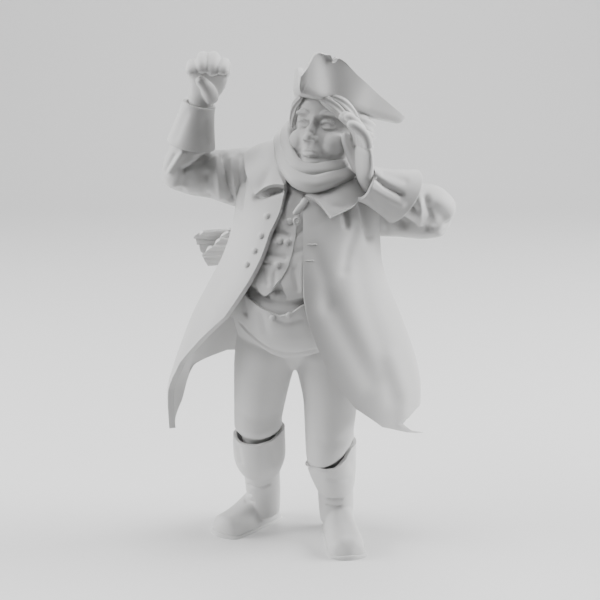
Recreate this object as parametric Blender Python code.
# Town crier figurine, cast in one piece: a stout figure in a three-cornered hat, wrapped scarf,
# open coat, waistcoat, breeches and cuffed boots. One arm is raised, one hand is cupped by the face.
# Metres, +Z up, the figure faces -Y and its origin is on the ground under the middle of its box.
import math

import bmesh
import bpy
import numpy as np
from mathutils import Matrix, Vector

# Driving sizes, in metres
FIGURE_HEIGHT = 0.150      # from the soles to the top of the hat
COAT_CLOTH = 0.0019        # thickness of the coat's skirt and collar
BRIM_FELT = 0.0016         # thickness of the hat's turned-up brim
CUFF_LAYER = 0.0013        # how far a sleeve's cuff stands out from the sleeve
WAISTCOAT_LAYER = 0.0011   # how far the waistcoat stands out from the belly
FRONT_LAYER = 0.0010       # how far the breeches' buttoned front stands out
SCARF_ROLL = 0.0029        # radius of one turn of the scarf
FINGER_RADIUS = 0.00145
FIST_FINGER = 0.00172      # radius of a finger of the fist, which is clenched
BUTTON_RADIUS = 0.00095
SOLE_THICKNESS = 0.0015
SOLE_WELT = 0.0005         # how far the sole stands out round the boot

# The pose and the carving are drawn in parts of the height, and cloth in metres
DRAWN_HEIGHT = 151.35      # the height in those parts
PART = FIGURE_HEIGHT / DRAWN_HEIGHT
CLAY_VOXEL = 0.46          # grain that the clay is joined at, in the same parts
SOLID_FACES = 9700         # triangles that the finished solid keeps

PLASTIC = (0.80, 0.80, 0.79, 1.0)
PLASTIC_ROUGHNESS = 0.55

# The head is turned to its own right and lifted
HEAD_CENTRE = Vector((8.6, -2.6, 128.0))
HEAD_SIZE = 1.08           # against a head 28 parts high
HAT_CENTRE = Vector((9.4, 0.4, 134.9))
HEAD_TURN = math.radians(-28)
HEAD_LIFT = math.radians(17)
HAT_TILT = math.radians(7)
HEAD_FRAME = Matrix.Rotation(HEAD_TURN, 3, "Z") @ Matrix.Rotation(-HEAD_LIFT, 3, "X")
HAT_FRAME = HEAD_FRAME @ Matrix.Rotation(HAT_TILT, 3, "Y")


def drawn(metres):
    """A thickness in metres, in parts of the height."""
    return metres / PART


def spline(rows, at, closed=False):
    """Rows of numbers, joined by a smooth curve through all of them and read at places from 0 to 1."""
    rows = np.asarray(rows, float)
    count = len(rows)
    spans = count if closed else count - 1
    place = np.clip(np.asarray(at, float), 0, 1) * spans
    first = np.minimum(place.astype(int), spans - 1)
    f = (place - first)[..., None]

    def row(offset):
        index = first + offset
        if closed:
            return rows[index % count]
        inside = rows[np.clip(index, 0, count - 1)]
        before = (index < 0)[..., None]
        after = (index > count - 1)[..., None]
        inside = np.where(before, 2 * rows[0] - rows[1], inside)
        return np.where(after, 2 * rows[-1] - rows[-2], inside)

    a, b, c, d = row(-1), row(0), row(1), row(2)
    return 0.5 * (2 * b + (c - a) * f + (2 * a - 5 * b + 4 * c - d) * f**2
                  + (3 * b - 3 * c + d - a) * f**3)


def unit(vectors):
    return vectors / np.maximum(np.linalg.norm(vectors, axis=-1, keepdims=True), 1e-9)


def wrapped(bm, around, along, shape):
    """Adds a grid whose points go where shape(u, v) says, in metres, with its seam and its ends closed."""
    made = bmesh.ops.create_grid(bm, x_segments=around, y_segments=along, size=0.5)["verts"]
    flat = np.array([v.co for v in made])
    low, high = flat.min(0), flat.max(0)
    places = shape((flat[:, 0] - low[0]) / (high[0] - low[0]), (flat[:, 1] - low[1]) / (high[1] - low[1]))
    for vert, place in zip(made, places * PART):
        vert.co = place
    bmesh.ops.remove_doubles(bm, verts=made, dist=1e-4 * PART)


def creased(places, outward, creases):
    """Presses grooves into the front of a surface: rows of (places on the front view, width, depth).
    A depth below zero raises a ridge."""
    front = np.clip(-3 * outward[:, 1], 0, 1)
    flat = places[:, (0, 2)]
    sunk = np.zeros(len(places))
    for line, width, depth in creases:
        nearest = np.full(len(flat), 1e9)
        for a, b in zip(np.array(line[:-1], float), np.array(line[1:], float)):
            along = np.clip(((flat - a) @ (b - a)) / ((b - a) @ (b - a)), 0, 1)
            nearest = np.minimum(nearest, np.linalg.norm(flat - a - along[:, None] * (b - a), axis=1))
        sunk += depth * np.exp(-(nearest / width)**2)
    return places - outward * (sunk * front)[:, None]


def tube(rows, across=(1, 0, 0), start=0.12, end=0.12, flutes=0, flute_depth=0.0, creases=()):
    """A limb or a roll: rows of (x, y, z, half width, half depth) from tip to tip.
    The width runs along across, start and end are the shares of the length that round over."""
    rows = np.asarray(rows, float)
    across = np.asarray(across, float)

    def shape(u, v):
        row = spline(rows, v)
        tangent = unit(spline(rows, v + 0.01)[:, :3] - spline(rows, v - 0.01)[:, :3])
        side = unit(across - (tangent @ across)[:, None] * tangent)
        other = np.cross(tangent, side)
        swell = np.sqrt(1 - (1 - np.clip(v / max(start, 1e-6), 0, 1))**2)
        swell = swell * np.sqrt(1 - (1 - np.clip((1 - v) / max(end, 1e-6), 0, 1))**2)
        angle = 2 * math.pi * u
        swell = swell * (1 + flute_depth * np.cos(flutes * angle))
        places = (row[:, :3] + side * (row[:, 3] * swell * np.cos(angle))[:, None]
                  + other * (row[:, 4] * swell * np.sin(angle))[:, None])
        return creased(places, side * np.cos(angle)[:, None] + other * np.sin(angle)[:, None], creases)

    return shape


def rings(levels, edges=None, low=None, ripple=None, ends=0.0, creases=(), span=None):
    """A garment built up from level rings: levels are rows of
    (height, centre x, half width, front depth, back depth), from the top down.
    edges gives the two front edges' angles for a height, low the hem's height round the figure
    and span both the upper and the lower edge's height."""
    levels = np.asarray(levels, float)
    heights = levels[:, 0]
    dense = spline(levels, np.linspace(0, 1, 200))
    order = np.argsort(dense[:, 0])

    def shape(u, v):
        rim, hem = span(u) if span else (heights[0], heights[-1] if low is None else low(u))
        height = rim + (hem - rim) * v
        columns = [np.interp(height, dense[order, 0], dense[order, k]) for k in range(1, 5)]
        centre, half, front, back = columns
        if edges is None:
            angle = 2 * math.pi * u
        else:
            left, right = edges(height)
            angle = left + (2 * math.pi + right - left) * u
        depth = np.where(np.cos(angle) > 0, front, back)
        out = 1.0 if ripple is None else 1 + ripple(angle, height) / half
        swell = 1.0
        if ends:
            swell = np.sqrt(1 - (1 - np.clip(v / ends, 0, 1))**2) * np.sqrt(1 - (1 - np.clip((1 - v) / ends,
                                                                                             0, 1))**2)
        places = np.stack([centre + half * out * swell * np.sin(angle),
                           -depth * out * swell * np.cos(angle), height + 0 * angle], axis=1)
        return creased(places, np.stack([np.sin(angle), -np.cos(angle), 0 * angle], axis=1), creases)

    return shape


def ball(bm, centre, radii, turn=None, around=24, along=16):
    """An ellipsoid with its half sizes along the axes of turn; those of the head are shares of it."""
    if turn is not None:
        radii = [half * HEAD_SIZE for half in radii]
    place = Matrix.Translation(Vector(centre))
    if turn is not None:
        place = place @ turn.to_4x4()
    place = Matrix.Scale(PART, 4) @ place @ Matrix.Diagonal((*radii, 1.0))
    bmesh.ops.create_uvsphere(bm, u_segments=around, v_segments=along, radius=1.0, matrix=place)


def closed_mesh(name, fill):
    """A mesh from what fill adds to an empty one, with its faces outwards and its holes filled."""
    bm = bmesh.new()
    fill(bm)
    bmesh.ops.holes_fill(bm, edges=bm.edges, sides=0)
    bmesh.ops.recalc_face_normals(bm, faces=bm.faces)
    mesh = bpy.data.meshes.new(name)
    bm.to_mesh(mesh)
    bm.free()
    return mesh


def piece(name, fill, closed=True):
    """An object for one lump of clay."""
    if closed:
        mesh = closed_mesh(name, fill)
    else:
        bm = bmesh.new()
        fill(bm)
        mesh = bpy.data.meshes.new(name)
        bm.to_mesh(mesh)
        bm.free()
    made = bpy.data.objects.new(name, mesh)
    bpy.context.scene.collection.objects.link(made)
    return made


def evaluated(source, name):
    """The source's mesh as its modifiers leave it."""
    graph = bpy.context.evaluated_depsgraph_get()
    mesh = bpy.data.meshes.new_from_object(source.evaluated_get(graph))
    mesh.name = name
    return mesh


# Legs and boots

# where the breeches sag over the tops of the boots, and the boots' bends
LEG_CREASES = [([(-21.6, 34.8), (-18.9, 33.6), (-13.4, 33.7), (-8.5, 34.7), (-4.6, 36.4)], 0.8, 1.4),
               ([(2.6, 25.4), (5, 26.0), (8.6, 26.2), (11.2, 27.1), (14, 29.8), (16.4, 32.8)], 0.8, 1.4),
               ([(-15.6, 15.0), (-10, 16)], 0.7, 0.5), ([(9, 13.8), (12.6, 13.7)], 0.6, 0.5),
               ([(8.8, 11.3), (12, 11.2)], 0.6, 0.5)]


def leg(bm, rows):
    wrapped(bm, 44, 50, tube(rows, (1, 0, 0), 0.1, 0.05, creases=LEG_CREASES))


def boot(bm, heel, toward, length, shaft, cuff, rim):
    """A boot from its heel towards its toe, with the shaft's rows and the turned-down cuff's rows.
    The rim has the rise of the cuff's upper edge against x."""
    along = unit(np.array(toward, float))
    aside = np.array((-along[1], along[0]))
    # share of the length, half width and height of the upper
    profile = np.array([(0, 3.0, 8.5), (0.08, 4.3, 11.5), (0.27, 4.8, 12.5), (0.45, 4.9, 10.2),
                        (0.63, 5.4, 7.8), (0.8, 5.6, 6.6), (0.92, 5.2, 6.2), (1.0, 4.0, 5.4)])

    def last(extra, low, high):
        def shape(u, v):
            row = spline(profile, v)
            swell = np.sqrt(1 - (1 - np.clip(v / 0.07, 0, 1))**2) * np.sqrt(1 - (1 - np.clip((1 - v) / 0.2,
                                                                                             0, 1))**2)
            angle = 2 * math.pi * u
            half = (row[:, 1] + extra) * swell
            up = np.sin(angle)
            top = row[:, 2] * np.sqrt(swell) if high is None else high + 0 * v
            aside_by = half * np.sign(np.cos(angle)) * np.abs(np.cos(angle))**0.8
            height = np.where(up > 0, top * np.abs(up)**0.9, low * np.abs(up)**0.3)
            run = (row[:, 0] * (length + 2 * extra) - extra)[:, None]
            flat = np.asarray(heel) + along * run + aside * aside_by[:, None]
            return np.column_stack([flat, height])
        return shape

    def cuff_with_rim(u, v):
        places = tube(cuff, (1, 0, 0), 0.05, 0.03, creases=LEG_CREASES)(u, v)
        places[:, 2] += (1 - v)**2 * np.interp(places[:, 0], *zip(*rim))
        return places

    wrapped(bm, 28, 30, last(0.0, -1.0, None))
    wrapped(bm, 28, 30, last(drawn(SOLE_WELT), -1.0, drawn(SOLE_THICKNESS)))
    wrapped(bm, 40, 40, tube(shaft, (1, 0, 0), 0.06, 0.06, creases=LEG_CREASES))
    wrapped(bm, 40, 26, cuff_with_rim)


def legs(bm):
    leg(bm, [(-7.5, 1, 70, 9, 9), (-9.4, 0, 64.5, 9.6, 12.2), (-10.8, 0.6, 57, 9.3, 11.2),
             (-12.0, 0.9, 48, 8.3, 9.4),
             (-12.9, 1.2, 39, 7.4, 7.8), (-12.8, 1.4, 34, 7.2, 7.6), (-12.5, 2.4, 27, 5.4, 5.8)])
    leg(bm, [(6.5, 1, 70, 9, 9), (7, -1.2, 64.5, 9.6, 11.8), (8.1, -1.6, 57, 9.4, 11),
             (9.2, -2.6, 47, 8.4, 9.6),
             (9, -3.6, 36, 7.5, 8.2), (9.3, -3.4, 27.5, 7.2, 7.8), (10.4, -2.4, 21, 5.0, 5.4)])
    boot(bm, (-8.6, 16.6), (-0.68, -0.73), 24.4,
         [(-12.4, 4.2, 26, 5.2, 5.6), (-12.2, 5.2, 22, 5.7, 6.1), (-11.9, 7.0, 17, 5.6, 6.0),
          (-11.6, 9.4, 10, 5.4, 5.9), (-11.4, 10.2, 3, 4.9, 5.6)],
         [(-12.7, 1.8, 34.4, 8.0, 8.3), (-12.7, 2.2, 31, 8.1, 8.3), (-12.6, 3, 26.6, 8.1, 8.2),
          (-12.5, 3.6, 23.8, 7.7, 7.8), (-12.3, 4.4, 20.6, 6.4, 6.8)],
         [(-21.5, -0.8), (-18.9, -1.9), (-13.4, -1.6), (-8.5, -0.6), (-4.6, 1.2)])
    boot(bm, (11.2, 9), (0.13, -0.99), 28.5,
         [(11.0, -1.2, 22, 4.6, 5.4), (11.0, -0.4, 19, 5.2, 6.0), (11.1, 0.8, 16, 5.5, 6.2),
          (11.3, 2.6, 10, 5.5, 6.2), (11.5, 3.6, 3, 5.0, 5.8)],
         [(9.8, -2.8, 27.6, 7.5, 8.4), (9.9, -2.6, 25, 7.4, 8.1), (10.4, -2, 21.4, 6.9, 7.6),
          (11.0, -0.8, 17.4, 6.0, 6.8)],
         [(1.7, -3), (4.7, -2.2), (8.3, -2), (11.0, -1.1), (13.8, 1.4), (15.6, 4.2), (18, 4.4)])


# Belly and waistcoat

BODY_LEVELS = [(119, 3.5, 7, 7, 8), (114, 1.5, 13, 10, 10.5), (108, 1.5, 17, 14.5, 12.5),
               (100, 1.6, 18, 18, 13.5),
               (92, 0.5, 18.5, 20.5, 14.5), (85, -1, 19, 21.8, 15), (79, -2.3, 18.6, 21.8, 15),
               (73, -2.6, 18, 20.4, 14.5),
               (67, -2, 17.2, 16.8, 13.5), (62, -1.6, 15.2, 11.4, 12), (58.6, -1.6, 11.6, 8.4, 9.8),
               (56.2, -1.4, 6.8, 5.6, 7), (54.6, -1.3, 2.6, 3.6, 4.4)]
# height of the waistcoat's lower edge against the angle from the front, in degrees
WAISTCOAT_POINTS = [(-180, 84), (-60, 87), (-40, 87), (-31, 83.4), (-25, 82.2), (-20, 84), (-15, 87.2),
                    (-5, 81.6),
                    (3, 82.2), (20, 83), (60, 86), (180, 84)]


WAISTCOAT_CREASES = [([(-0.7, 106.6), (-2.1, 102.2), (-2.7, 98.2), (-3.4, 91.2), (-5.8, 87)], 0.6, 1.1),
                     ([(-4, 111), (-8.4, 103), (-11.4, 96), (-15, 88), (-18.5, 80)], 1.1, 1.4),
                     ([(-6.9, 100.4), (-3.2, 99.7)], 1.0, 0.5), ([(-9.2, 93.2), (-5, 93)], 0.9, 0.45)]
# the waistband's upper edge and the lower edge of the breeches' front, against the angle from the front
FRONT_FALL = [(-60, 73), (-48, 70.6), (-36, 66.9), (-24, 63.5), (-12, 61.9), (4, 62.1), (16, 63.2), (60, 67)]
WAISTBAND = [(-60, 83), (-42, 81), (-28, 78.8), (-10, 76.8), (0, 77.8), (8, 80), (60, 83)]


def body(bm):
    wrapped(bm, 64, 44, rings(BODY_LEVELS, ends=0.03))


def breeches_front(bm):
    """The buttoned front of the breeches: a layer over the belly that ends above the thighs."""
    layer = drawn(FRONT_LAYER)
    levels = [(row[0], row[1], row[2] + layer, row[3] + layer, row[4] + layer) for row in BODY_LEVELS[5:11]]
    top, low = [([math.radians(a) for a, _ in rows], [h for _, h in rows]) for rows in (WAISTBAND,
                                                                                        FRONT_FALL)]

    def ends(u):
        angle = (2 * math.pi * u + math.pi) % (2 * math.pi) - math.pi
        return np.interp(angle, *top), np.interp(angle, *low)

    wrapped(bm, 96, 24, rings(levels, span=ends))


def waistcoat(bm):
    layer = drawn(WAISTCOAT_LAYER)
    levels = [(row[0], row[1], row[2] + layer, row[3] + layer, row[4] + layer) for row in BODY_LEVELS[1:7]]
    table = np.radians([row[0] for row in WAISTCOAT_POINTS]), [row[1] for row in WAISTCOAT_POINTS]

    def low(u):
        angle = (2 * math.pi * u + math.pi) % (2 * math.pi) - math.pi
        return np.interp(angle, *table)

    wrapped(bm, 120, 34, rings(levels, low=low, creases=WAISTCOAT_CREASES))
    for height, angle in [(103.4, -14), (98, -18.5), (91.6, -20)]:
        side = math.radians(angle)
        row = [np.interp(height, [r[0] for r in BODY_LEVELS][::-1],
                         [r[k] for r in BODY_LEVELS][::-1]) for k in range(1, 4)]
        at = (row[0] + (row[1] + layer) * math.sin(side), -(row[2] + layer) * math.cos(side), height)
        ball(bm, at, (drawn(BUTTON_RADIUS),) * 3, around=10, along=8)


# Coat

COAT_LEVELS = [(119.5, 3.0, 10.5, 9, 11), (116, 2, 15, 11, 13), (111, 2, 18.5, 14.5, 14.5),
               (104, 2.2, 19.6, 18.5, 15.2),
               (96, 1.5, 20.5, 21.6, 16), (88, 0.4, 22.3, 23.6, 17), (80, -0.6, 25.6, 24.4, 18.2),
               (72, -1, 29.4, 24.2, 19.6),
               (64, -1, 32.6, 23.6, 21), (56, -1, 35.4, 22.8, 22), (48, -1, 37.4, 22, 22.8),
               (36, -1, 37, 20.5, 23)]
COAT_EDGE_HEIGHTS = [36, 38.6, 42, 49, 58, 66, 75, 83, 92, 100, 106, 112, 120]
COAT_LEFT_EDGE = [76, 57, 40, 26, 17, 12, 7, 3, 0, -3, -4, 0, 14]
COAT_RIGHT_EDGE = [-82, -82, -81, -80, -73, -60, -45, -39, -33, -29, -22, -18, -24]
# height of the hem from the left front corner, at 0, round the back to the right front corner, at 1
HEM_HEIGHTS = [(0, 36), (0.015, 38.4), (0.04, 41), (0.08, 43), (0.14, 44.5), (0.25, 45.5), (0.33, 47),
               (0.42, 49.5),
               (0.5, 51), (0.58, 52.5), (0.67, 54.5), (0.75, 55.5), (0.84, 52), (0.92, 43), (1, 36.4)]

# where the wind pulls the skirt: centre, move and reach
COAT_PULLS = [((31, -8, 36), (2.8, -1, -0.6), 5.0), ((37, 2, 46), (-2.0, 0, 0.8), 7)]
COAT_CREASES = [([(17.7, 109.4), (19.3, 103.2), (20.4, 98)], 1.3, 1.6),
                ([(14.3, 110.4), (12.6, 107.2), (13.5, 102.4)], 0.9, 0.9),
                ([(-16.6, 121), (-16.4, 115), (-17.2, 106)], 0.9, 1.1),
                ([(9, 81), (13.1, 72), (21.1, 57)], 3.6, 0.9),
                ([(17, 92), (19.4, 80), (24, 66), (28, 50)], 3.0, 0.6)]


def coat_edges(height):
    return (np.radians(np.interp(height, COAT_EDGE_HEIGHTS, COAT_LEFT_EDGE)),
            np.radians(np.interp(height, COAT_EDGE_HEIGHTS, COAT_RIGHT_EDGE)))


def coat_ripple(angle, height):
    """Folds of the skirt: none above the waist, deeper towards the hem and round the back."""
    drop = np.clip((84 - height) / 46, 0, 1)
    back = 0.5 - 0.5 * np.cos(angle)
    return drop**1.2 * (1.5 * back * np.cos(9 * angle + 0.6) + 0.7 * np.sin(4 * angle - 0.8))


def coat(bm):
    def hem(u):
        return np.interp(u, *zip(*HEM_HEIGHTS))

    still = rings(COAT_LEVELS, edges=coat_edges, low=hem, ripple=coat_ripple, creases=COAT_CREASES)

    def blown(u, v):
        places = still(u, v)
        for centre, move, reach in COAT_PULLS:
            away = np.linalg.norm(places - centre, axis=1) / reach
            places = places + np.exp(-away**2)[:, None] * np.array(move)
        return places

    wrapped(bm, 120, 70, blown)


# The collar's inner line on the neck and its outer line on the shoulders, left front to right front
COLLAR_INNER = [(1.6, -16.4, 110.4), (8, -12.8, 113.8), (14, -3, 119.4), (13, 7, 122.6), (4, 10.6, 124),
                (-4.6, 7.4, 124.2), (-6.8, -1, 122.4), (-6.8, -9.4, 117.4), (-4.6, -15.2, 113.2)]
COLLAR_OUTER = [(8.6, -21.6, 105.4), (16.2, -17.2, 108.8), (20.8, -3, 113.8), (17.4, 10.4, 113.6),
                (3.4, 17, 111),
                (-9.8, 13, 115), (-15.4, 2, 120.4), (-15.4, -8.6, 116.0), (-12.6, -13.8, 110.4)]


def collar(bm):
    def shape(u, v):
        inner = spline(COLLAR_INNER, u)
        outer = spline(COLLAR_OUTER, u)
        arch = np.sin(math.pi * v)[:, None] * np.array((0, 0, 1.3))
        return inner + (outer - inner) * v[:, None] + arch

    wrapped(bm, 60, 10, shape)


# Arms, cuffs and hands

SLEEVE_CREASES = [([(-25.6, 121.8), (-29.3, 118.9), (-32.6, 117.6)], 0.9, 1.3),
                  ([(-22.8, 122), (-21.5, 115.3), (-21.9, 108)], 1.1, 1.2),
                  ([(-26.9, 118.1), (-26.6, 113.7), (-27.3, 108.6)], 1.2, 0.8),
                  ([(-33.9, 121.8), (-37.6, 116.4)], 1.0, -0.5),
                  ([(31.7, 109.6), (33, 106)], 1.5, 2.0), ([(27.8, 104.8), (30, 100.6)], 1.7, 1.6),
                  ([(36.4, 108.6), (37.6, 103)], 1.2, 0.8)]
CUFF_CREASES = [([(20.4, 117.4), (24.6, 113.7), (28.4, 111.4)], 0.8, 0.9),
                ([(18.6, 115), (24.4, 110.8), (28.6, 108.6)], 0.9, -0.4)]


def sleeves(bm):
    wrapped(bm, 40, 44, tube([(-9, 4, 112, 9, 8), (-17, 3.6, 112.7, 9, 8.3), (-25, 2, 113.8, 7.4, 7.4),
                              (-33, 0.4, 114.8, 6.4, 6.7), (-39.2, 0, 116, 5.2, 5.4)], (0, 0, 1), 0.1, 0.12,
                             creases=SLEEVE_CREASES))
    wrapped(bm, 40, 34, tube([(-36.0, 0, 109.8, 5.0, 5.4), (-34.4, -1, 116.6, 6.0, 6.2),
                              (-32.6, -2.6, 123, 5.0, 5.2),
                              (-29.6, -4.8, 134.5, 4.2, 4.4)], (1, 0, 0), 0.14, 0.05,
                             creases=SLEEVE_CREASES))
    wrapped(bm, 40, 44, tube([(12, 4, 106, 8, 8), (20.5, 3.6, 103.6, 8.4, 8), (30, 2, 102.1, 7.0, 7.1),
                              (37.6, -0.4, 101.4, 6.4, 6.4), (45.1, -2.4, 102.2, 5.2, 5.2)], (0, 0, 1), 0.1,
                             0.13, creases=SLEEVE_CREASES))
    wrapped(bm, 40, 34, tube([(44.6, -1.2, 101.4, 4.6, 4.6), (38.4, -4.6, 105.6, 6.2, 6.0),
                              (31.6, -8.6, 108.2, 5.0, 5.2),
                              (24.6, -12.6, 111.4, 4.8, 4.8), (19.4, -15.4, 113.8, 4.2, 4.0)], (0, 0, 1),
                             0.14, 0.05, creases=SLEEVE_CREASES))


def cuffs(bm):
    layer = drawn(CUFF_LAYER)
    wrapped(bm, 40, 26, tube([(-29.2, -5.0, 135.8, 3.4 + layer, 3.4 + layer),
                              (-30.2, -4.4, 131.5, 4.0 + layer, 4.1 + layer),
                              (-31.7, -3.3, 123.8, 5.7 + layer, 5.7 + layer)], (1, 0, 0.12), 0.04, 0.03))
    wrapped(bm, 40, 26, tube([(18.0, -15.8, 114.4, 4.4 + layer, 4.4 + layer),
                              (23, -13.2, 112.2, 5.2 + layer, 5.2 + layer),
                              (29.8, -9.6, 109.6, 6.6 + layer, 6.2 + layer)], (0, 0, 1), 0.04, 0.03,
                             creases=CUFF_CREASES))


def fist(bm):
    """The raised right hand, its fingers curled over a hollow that faces the front."""
    finger = drawn(FIST_FINGER)
    wrapped(bm, 18, 14, tube([(-28.8, -4.9, 133, 3, 2.8), (-28.2, -5.5, 137.4, 3.9, 2.9),
                              (-26.6, -4.8, 142.4, 5.6, 2.2),
                              (-26.1, -4.4, 147.2, 5.9, 2.0)], (1, 0, 0.1), 0.05, 0.3))
    for place in range(4):
        x = -30.5 + 2.93 * place
        drop = (2.7, 0.7, 0.7, 2.4)[place]
        tip = (145.6, 146.2, 145.4, 145.8)[place]
        wrapped(bm, 12, 22, tube([(x, -4.2, 145.4 - drop, finger, finger),
                                  (x, -5.4, 148.8 - drop, finger * 1.1, finger * 1.1),
                                  (x, -9.2, 149.7 - drop, finger * 1.1, finger * 1.1),
                                  (x, -12.4, (149.0 - drop + tip) / 2, finger * 1.08, finger * 1.05),
                                  (x, -13.0, tip - 1.2, finger * 0.95, finger * 0.95)], (1, 0, 0), 0.1,
                                 0.15))
    wrapped(bm, 12, 18, tube([(-25.2, -6.4, 136.5, 2.3, 2.1), (-26.0, -8.6, 139.6, 2.2, 2.1),
                              (-27.6, -9.8, 142.0, 1.8, 1.7),
                              (-29.4, -10.0, 143.6, 1.4, 1.4)], (0, 1, 0), 0.1, 0.2))


def cupped_hand(bm):
    """The left hand, raised beside the mouth with its palm turned to the face."""
    finger = drawn(FINGER_RADIUS)
    wide = np.array((0.38, -0.925, 0.0))
    wrapped(bm, 18, 14, tube([(20.6, -14.6, 112.6, 2.8, 2.6), (18.6, -15.8, 116.4, 3.2, 2.3),
                              (18.3, -17.2, 121, 4.5, 2.0),
                              (18, -17.9, 126.6, 4.7, 1.7)], wide, 0.05, 0.2))
    for place in range(4):
        across = (place - 1.5) * 2.2
        reach = (0.3, 1.2, 0.8, -1.2)[place]
        base = np.array((18.0, -17.8, 124.6)) + wide * across
        bend = np.array((17.2, -18.2, 128.6 + 0.4 * reach)) + wide * across * 0.97
        last = np.array((15.0, -18.6, 131.6 + 0.8 * reach)) + wide * across * 0.92
        tip = np.array((12.0, -18.8, 133.4 + reach)) + wide * across * 0.86
        wrapped(bm, 12, 20, tube([(*base, finger, finger), (*bend, finger, finger),
                                  (*last, finger * 0.95, finger * 0.95),
                                  (*tip, finger * 0.85, finger * 0.85)], wide, 0.1, 0.2))
    wrapped(bm, 12, 16, tube([(17.4, -14, 117, 2.2, 2.0), (15.2, -13.8, 121.4, 1.9, 1.8),
                              (13.4, -14.4, 125.6, 1.6, 1.5),
                              (12.6, -15, 128.8, 1.4, 1.3)], (0, 1, 0), 0.1, 0.2))


# Head, hair and hat

def on_head(x, y, z):
    """A place beside the head's centre, in the head's own frame, where -y is the way that it faces."""
    return HEAD_CENTRE + HEAD_FRAME @ (Vector((x, y, z)) * HEAD_SIZE)


def head(bm):
    turn = HEAD_FRAME
    ball(bm, on_head(0, 0.4, 2.2), (9.0, 10.4, 10.6), turn, 32, 24)
    ball(bm, on_head(0, -2.2, -4.2), (8.6, 8.2, 8.4), turn, 28, 20)
    ball(bm, on_head(0, -7.4, -9.6), (3.6, 3.0, 2.8), turn)
    for side in (-1, 1):
        ball(bm, on_head(4.6 * side, -6.2, -4.6), (3.6, 3.6, 4.0), turn)
        ball(bm, on_head(9.2 * side, 1.2, -1.2), (1.5, 2.0, 3.0), turn, 14, 10)
        ball(bm, on_head(3.4 * side, -9.4, 1.9), (2.7, 1.4, 0.9), turn, 14, 10)
        ball(bm, on_head(3.3 * side, -8.7, 0.0), (1.7, 1.6, 1.2), turn, 14, 10)
        ball(bm, on_head(1.35 * side, -10.6, -3.6), (1.1, 1.2, 0.9), turn, 14, 10)
    wrapped(bm, 14, 12, tube([(*on_head(0, -9.2, 1.4), 1.2, 1.2), (*on_head(0, -10.8, -1.2), 1.2, 1.3),
                              (*on_head(0, -12.0, -3.4), 1.6, 1.6)], (1, 0, 0), 0.2, 0.3))
    for lip, height in ((0.62, -6.2), (0.74, -7.5)):
        wrapped(bm, 12, 16, tube([(*on_head(-2.7, -8.9, height + 0.2), 0.3, 0.3),
                                  (*on_head(-1.2, -10.1, height), lip, lip),
                                  (*on_head(1.2, -10.1, height), lip, lip),
                                  (*on_head(2.7, -8.9, height + 0.2), 0.3, 0.3)],
                                 (0, 0, 1), 0.1, 0.1))
    wrapped(bm, 24, 10, tube([(4, 2, 110, 8.5, 8.5), (6, 1, 116, 8, 8), (8, 0, 121, 8, 8)], (1, 0, 0), 0.1,
                             0.1))


def hair(bm):
    turn = HEAD_FRAME
    ball(bm, on_head(0, 4.6, -1.0), (9.6, 7.6, 8.6), turn, 28, 20)
    for side in (-1, 1):
        for height, size in ((1.6, 1.9), (-1.5, 2.0), (-4.6, 1.9)):
            wrapped(bm, 14, 12, tube([(*on_head(8.6 * side, -2.2, height), size, size),
                                      (*on_head(9.8 * side, 2, height), size, size),
                                      (*on_head(8.8 * side, 6.4, height), size, size)], (0, 0, 1), 0.2, 0.2))
    wrapped(bm, 14, 14, tube([(*on_head(1.6, -10.2, 5.0), 0.9, 0.9), (*on_head(4.4, -10.0, 4.6), 1.3, 1.3),
                              (*on_head(7.2, -7.8, 2.4), 1.4, 1.4), (*on_head(8.6, -5, -0.6), 1.3, 1.3)],
                             (0, 0, 1), 0.15, 0.1))
    wrapped(bm, 16, 18, tube([(*on_head(0, 9.6, -4), 3.0, 2.6), (*on_head(0, 12, -8), 2.4, 2.2),
                              (9.5, 15.5, 110, 2.6, 2.2), (9, 18.6, 103, 1.2, 1.0)], (1, 0, 0), 0.1, 0.2))


CROWN_RADIUS = 9.8
BRIM_FOLD = 10.9           # how near the crown the brim is folded up between two corners
BRIM_CORNER = 20.6         # and at a corner
BRIM_BEND = 1.3
BRIM_LEAN = math.radians(80)
# how high the folded part stands, against the angle from the front corner in degrees
BRIM_RISE = [(0, 3.6), (2, 7.4), (4, 10.4), (6, 11.3), (12, 11.6), (18, 11.7), (24, 11.4), (30, 10.9),
             (36, 10.1),
             (48, 8.7), (60, 7.7), (72, 6.8), (90, 5.4), (102, 4.2), (112, 2.9), (120, 1.6), (132, 4.2),
             (150, 7.2),
             (180, 9.6), (210, 9.0), (228, 6.5), (240, 2.2), (252, 5.5), (270, 7.0), (300, 7.2), (325, 7.2),
             (342, 6.6),
             (354, 5.0), (360, 3.6)]
# a nick in the brim's edge, in degrees from the front corner
NOTCH_ANGLE = 17
NOTCH_HALF_ANGLE = 3.6
NOTCH_DEPTH = 1.4


def on_hat(points):
    return points @ np.array(HAT_FRAME).T + np.array(HAT_CENTRE)


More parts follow.
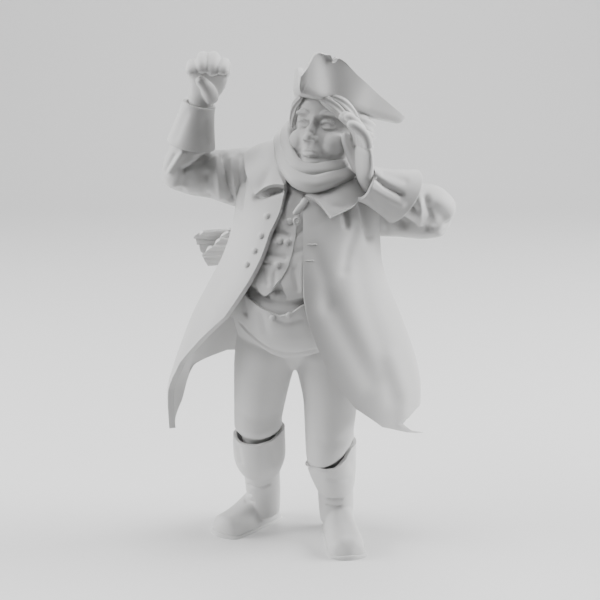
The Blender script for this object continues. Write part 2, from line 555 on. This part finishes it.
def brim(bm):
    def shape(u, v):
        degrees = 360 * u
        angle = 2 * math.pi * u
        beside = np.abs((degrees % 120) - 60) / 60
        fold = BRIM_FOLD + (BRIM_CORNER - BRIM_FOLD) * beside**3.0
        inner = CROWN_RADIUS - 2.6
        notch = NOTCH_DEPTH * np.clip(1 - np.abs(degrees - NOTCH_ANGLE) / NOTCH_HALF_ANGLE, 0, 1)
        risen = np.interp(degrees, [row[0] for row in BRIM_RISE], [row[1] for row in BRIM_RISE]) - notch
        length = (fold - inner + risen) * v
        bend = fold - inner
        turned = np.clip((length - bend + BRIM_BEND) / (2 * BRIM_BEND), 0, 1) * BRIM_LEAN
        arc = 2 * BRIM_BEND / BRIM_LEAN
        rise = np.maximum(length - bend - BRIM_BEND, 0)
        reach = inner + np.minimum(length,
                                   bend - BRIM_BEND) + arc * np.sin(turned) + rise * math.cos(BRIM_LEAN)
        height = arc * (1 - np.cos(turned)) + rise * math.sin(BRIM_LEAN)
        return on_hat(np.stack([reach * np.sin(angle), -reach * np.cos(angle), height], axis=1))

    wrapped(bm, 180, 26, shape)


def crown(bm):
    def shape(u, v):
        angle = 2 * math.pi * u
        out = CROWN_RADIUS * np.sqrt(np.clip(1 - np.abs(2 * v - 1)**3, 0, 1))
        up = -2.5 + 12.0 * v
        return on_hat(np.stack([out * np.sin(angle), -out * np.cos(angle), up + 0 * angle], axis=1))

    wrapped(bm, 36, 20, shape)


def scarf(bm):
    roll = drawn(SCARF_ROLL)
    loops = [([(-3.8, -3, 125.4), (-2.9, -9, 121.4), (-0.3, -13.3, 118.3), (4.6, -14.8, 117.5),
               (9.8, -13, 118.3),
               (15, -7, 119.6), (18.2, 0.6, 121.4), (14, 8, 123.6), (5, 11, 125.6), (-2.4, 5.5, 127.4)],
              0.8),
             ([(-5.2, -4, 122.4), (-4.2, -10, 118.6), (-1.2, -14.8, 115.4), (3.7, -16.8, 114.2),
               (8.8, -15.6, 115.2),
               (14.4, -10, 116.4), (18.8, -1, 118.2), (15, 8, 120.6), (4.6, 11.6, 122), (-4.8, 5.6, 124.6)],
              0.85),
             ([(-4.6, -1, 121.0), (-4.2, -7, 117.6), (0, -11.6, 115), (5, -12.6, 114), (11, -10, 115),
               (16.4, -4, 116),
               (17, 4, 117.4), (10, 11, 118.6), (1, 11.4, 119.4), (-4.8, 6, 121.4)], 0.95)]
    for points, size in loops:
        def shape(u, v, points=points, size=size):
            centre = spline(points, v, closed=True)
            tangent = unit(spline(points, (v + 0.004) % 1.0, closed=True) - spline(points, (v - 0.004) % 1.0,
                                                                                   closed=True))
            up = np.array((0.0, 0.0, 1.0))
            side = unit(up - (tangent @ up)[:, None] * tangent)
            other = np.cross(tangent, side)
            angle = 2 * math.pi * u
            return (centre + side * (roll * size * np.cos(angle))[:, None]
                    + other * (roll * size * 0.85 * np.sin(angle))[:, None])

        wrapped(bm, 18, 72, shape)


# The scarf's loose end, blown out behind the right hip, and the x of its slanting cut against the height
SCARF_END = [(2, 12, 115, 3.2, 2.0), (-3, 17.6, 106, 3.4, 1.8), (-10, 19.2, 96, 3.4, 1.8),
             (-17, 19, 90.6, 3.8, 2.2), (-24, 18.4, 88.4, 4.8, 3.0), (-30.6, 17.8, 88.4, 5.4, 3.4)]
SCARF_CUT = [(82, -28.4), (88, -31.3), (92, -33), (94.5, -28.7)]
SCARF_FRONT_CUT = 8.0      # how much shorter the front of the end is than its back
SCARF_MIDDLE = 18.4        # the front of the end lies ahead of this place
SCARF_CUT_LOW = 86.6       # the height where the shorter front begins


def scarf_end(bm):
    def shape(u, v):
        places = tube(SCARF_END, (-0.4, 0, 1), 0.05, 0, flutes=9, flute_depth=0.09)(u, v)
        cut = np.interp(places[:, 2], *zip(*SCARF_CUT)) - SCARF_END[-1][0]
        front = np.clip(3 * (SCARF_MIDDLE - places[:, 1]), 0, 1)
        high = np.clip((places[:, 2] - SCARF_CUT_LOW) / 5, 0, 1)
        places[:, 0] += v**3 * (cut + SCARF_FRONT_CUT * front * high)
        return places

    wrapped(bm, 54, 40, shape)


def set_coat_buttons(bm):
    size = drawn(BUTTON_RADIUS)
    for height, angle in ((104.9, -33), (99.4, -36), (95.1, -39.5), (91, -43)):
        levels = [r[0] for r in COAT_LEVELS][::-1]
        row = [np.interp(height, levels, [r[k] for r in COAT_LEVELS][::-1]) for k in range(1, 4)]
        side = math.radians(angle)
        ball(bm, (row[0] + row[1] * math.sin(side), -row[2] * math.cos(side), height), (size,) * 3,
             around=10, along=8)


def clay():
    """All the lumps, each closed, before they are joined."""
    lumps = [piece("legs", legs), piece("body", body), piece("waistcoat", waistcoat),
             piece("breeches_front", breeches_front), piece("sleeves", sleeves),
             piece("cuffs", cuffs), piece("fist", fist), piece("cupped_hand", cupped_hand),
             piece("head", head),
             piece("hair", hair), piece("crown", crown), piece("scarf", scarf),
             piece("scarf_end", scarf_end),
             piece("coat_buttons", set_coat_buttons)]
    for name, fill, thick, offset in (("coat", coat, COAT_CLOTH, -1.0), ("collar", collar, COAT_CLOTH, 0.0),
                                      ("brim", brim, BRIM_FELT, 0.0)):
        sheet = piece(name, fill, closed=False)
        cloth = sheet.modifiers.new("cloth", "SOLIDIFY")
        cloth.thickness = thick
        cloth.offset = offset
        cloth.use_rim = True
        mesh = evaluated(sheet, name)
        bm = bmesh.new()
        bm.from_mesh(mesh)
        bmesh.ops.recalc_face_normals(bm, faces=bm.faces)
        bm.to_mesh(mesh)
        bm.free()
        sheet.modifiers.clear()
        sheet.data = mesh
        lumps.append(sheet)
    return lumps


def joined(lumps):
    """One closed skin round all the lumps."""
    bm = bmesh.new()
    for lump in lumps:
        bm.from_mesh(lump.data)
        bpy.data.objects.remove(lump)
    mesh = bpy.data.meshes.new("clay")
    bm.to_mesh(mesh)
    bm.free()
    figure = bpy.data.objects.new("figurine", mesh)
    bpy.context.scene.collection.objects.link(figure)
    skin = figure.modifiers.new("skin", "REMESH")
    skin.mode = "VOXEL"
    skin.voxel_size = CLAY_VOXEL * PART
    soften = figure.modifiers.new("soften", "SMOOTH")
    soften.factor = 0.5
    soften.iterations = 2
    return figure


def thinned(figure):
    """Fewer faces, where the form allows it."""
    figure.data = evaluated(figure, "figurine")
    figure.modifiers.clear()
    figure.data.update()
    triangles = sum(len(face.vertices) - 2 for face in figure.data.polygons)
    thin = figure.modifiers.new("thin", "DECIMATE")
    thin.ratio = SOLID_FACES / triangles
    figure.data = evaluated(figure, "figurine")
    figure.modifiers.clear()


def stood(figure):
    """Cuts the soles flat, drops stray bits and puts the origin under the middle of the figure."""
    bm = bmesh.new()
    bm.from_mesh(figure.data)
    cut = bmesh.ops.bisect_plane(bm, geom=bm.verts[:] + bm.edges[:] + bm.faces[:], plane_co=(0, 0, 0),
                                 plane_no=(0, 0, -1), clear_outer=True)
    rim = [e for e in cut["geom_cut"] if isinstance(e, bmesh.types.BMEdge)]
    bmesh.ops.holes_fill(bm, edges=rim, sides=0)
    bmesh.ops.triangulate(bm, faces=bm.faces)
    places = np.array([v.co for v in bm.verts])
    middle = (places.min(0) + places.max(0)) / 2
    bmesh.ops.translate(bm, vec=(-middle[0], -middle[1], 0), verts=bm.verts)
    bmesh.ops.recalc_face_normals(bm, faces=bm.faces)
    bm.to_mesh(figure.data)
    bm.free()


def white_plastic():
    made = bpy.data.materials.new("white_plastic")
    made.use_nodes = True
    shader = made.node_tree.nodes["Principled BSDF"]
    shader.inputs["Base Color"].default_value = PLASTIC
    shader.inputs["Roughness"].default_value = PLASTIC_ROUGHNESS
    shader.inputs["Metallic"].default_value = 0.0
    return made


def main():
    for old in list(bpy.data.objects):
        bpy.data.objects.remove(old)
    figure = joined(clay())
    thinned(figure)
    stood(figure)
    figure.data.materials.clear()
    figure.data.materials.append(white_plastic())
    figure.data.shade_smooth()
    figure.data.set_sharp_from_angle(angle=math.radians(40))


main()
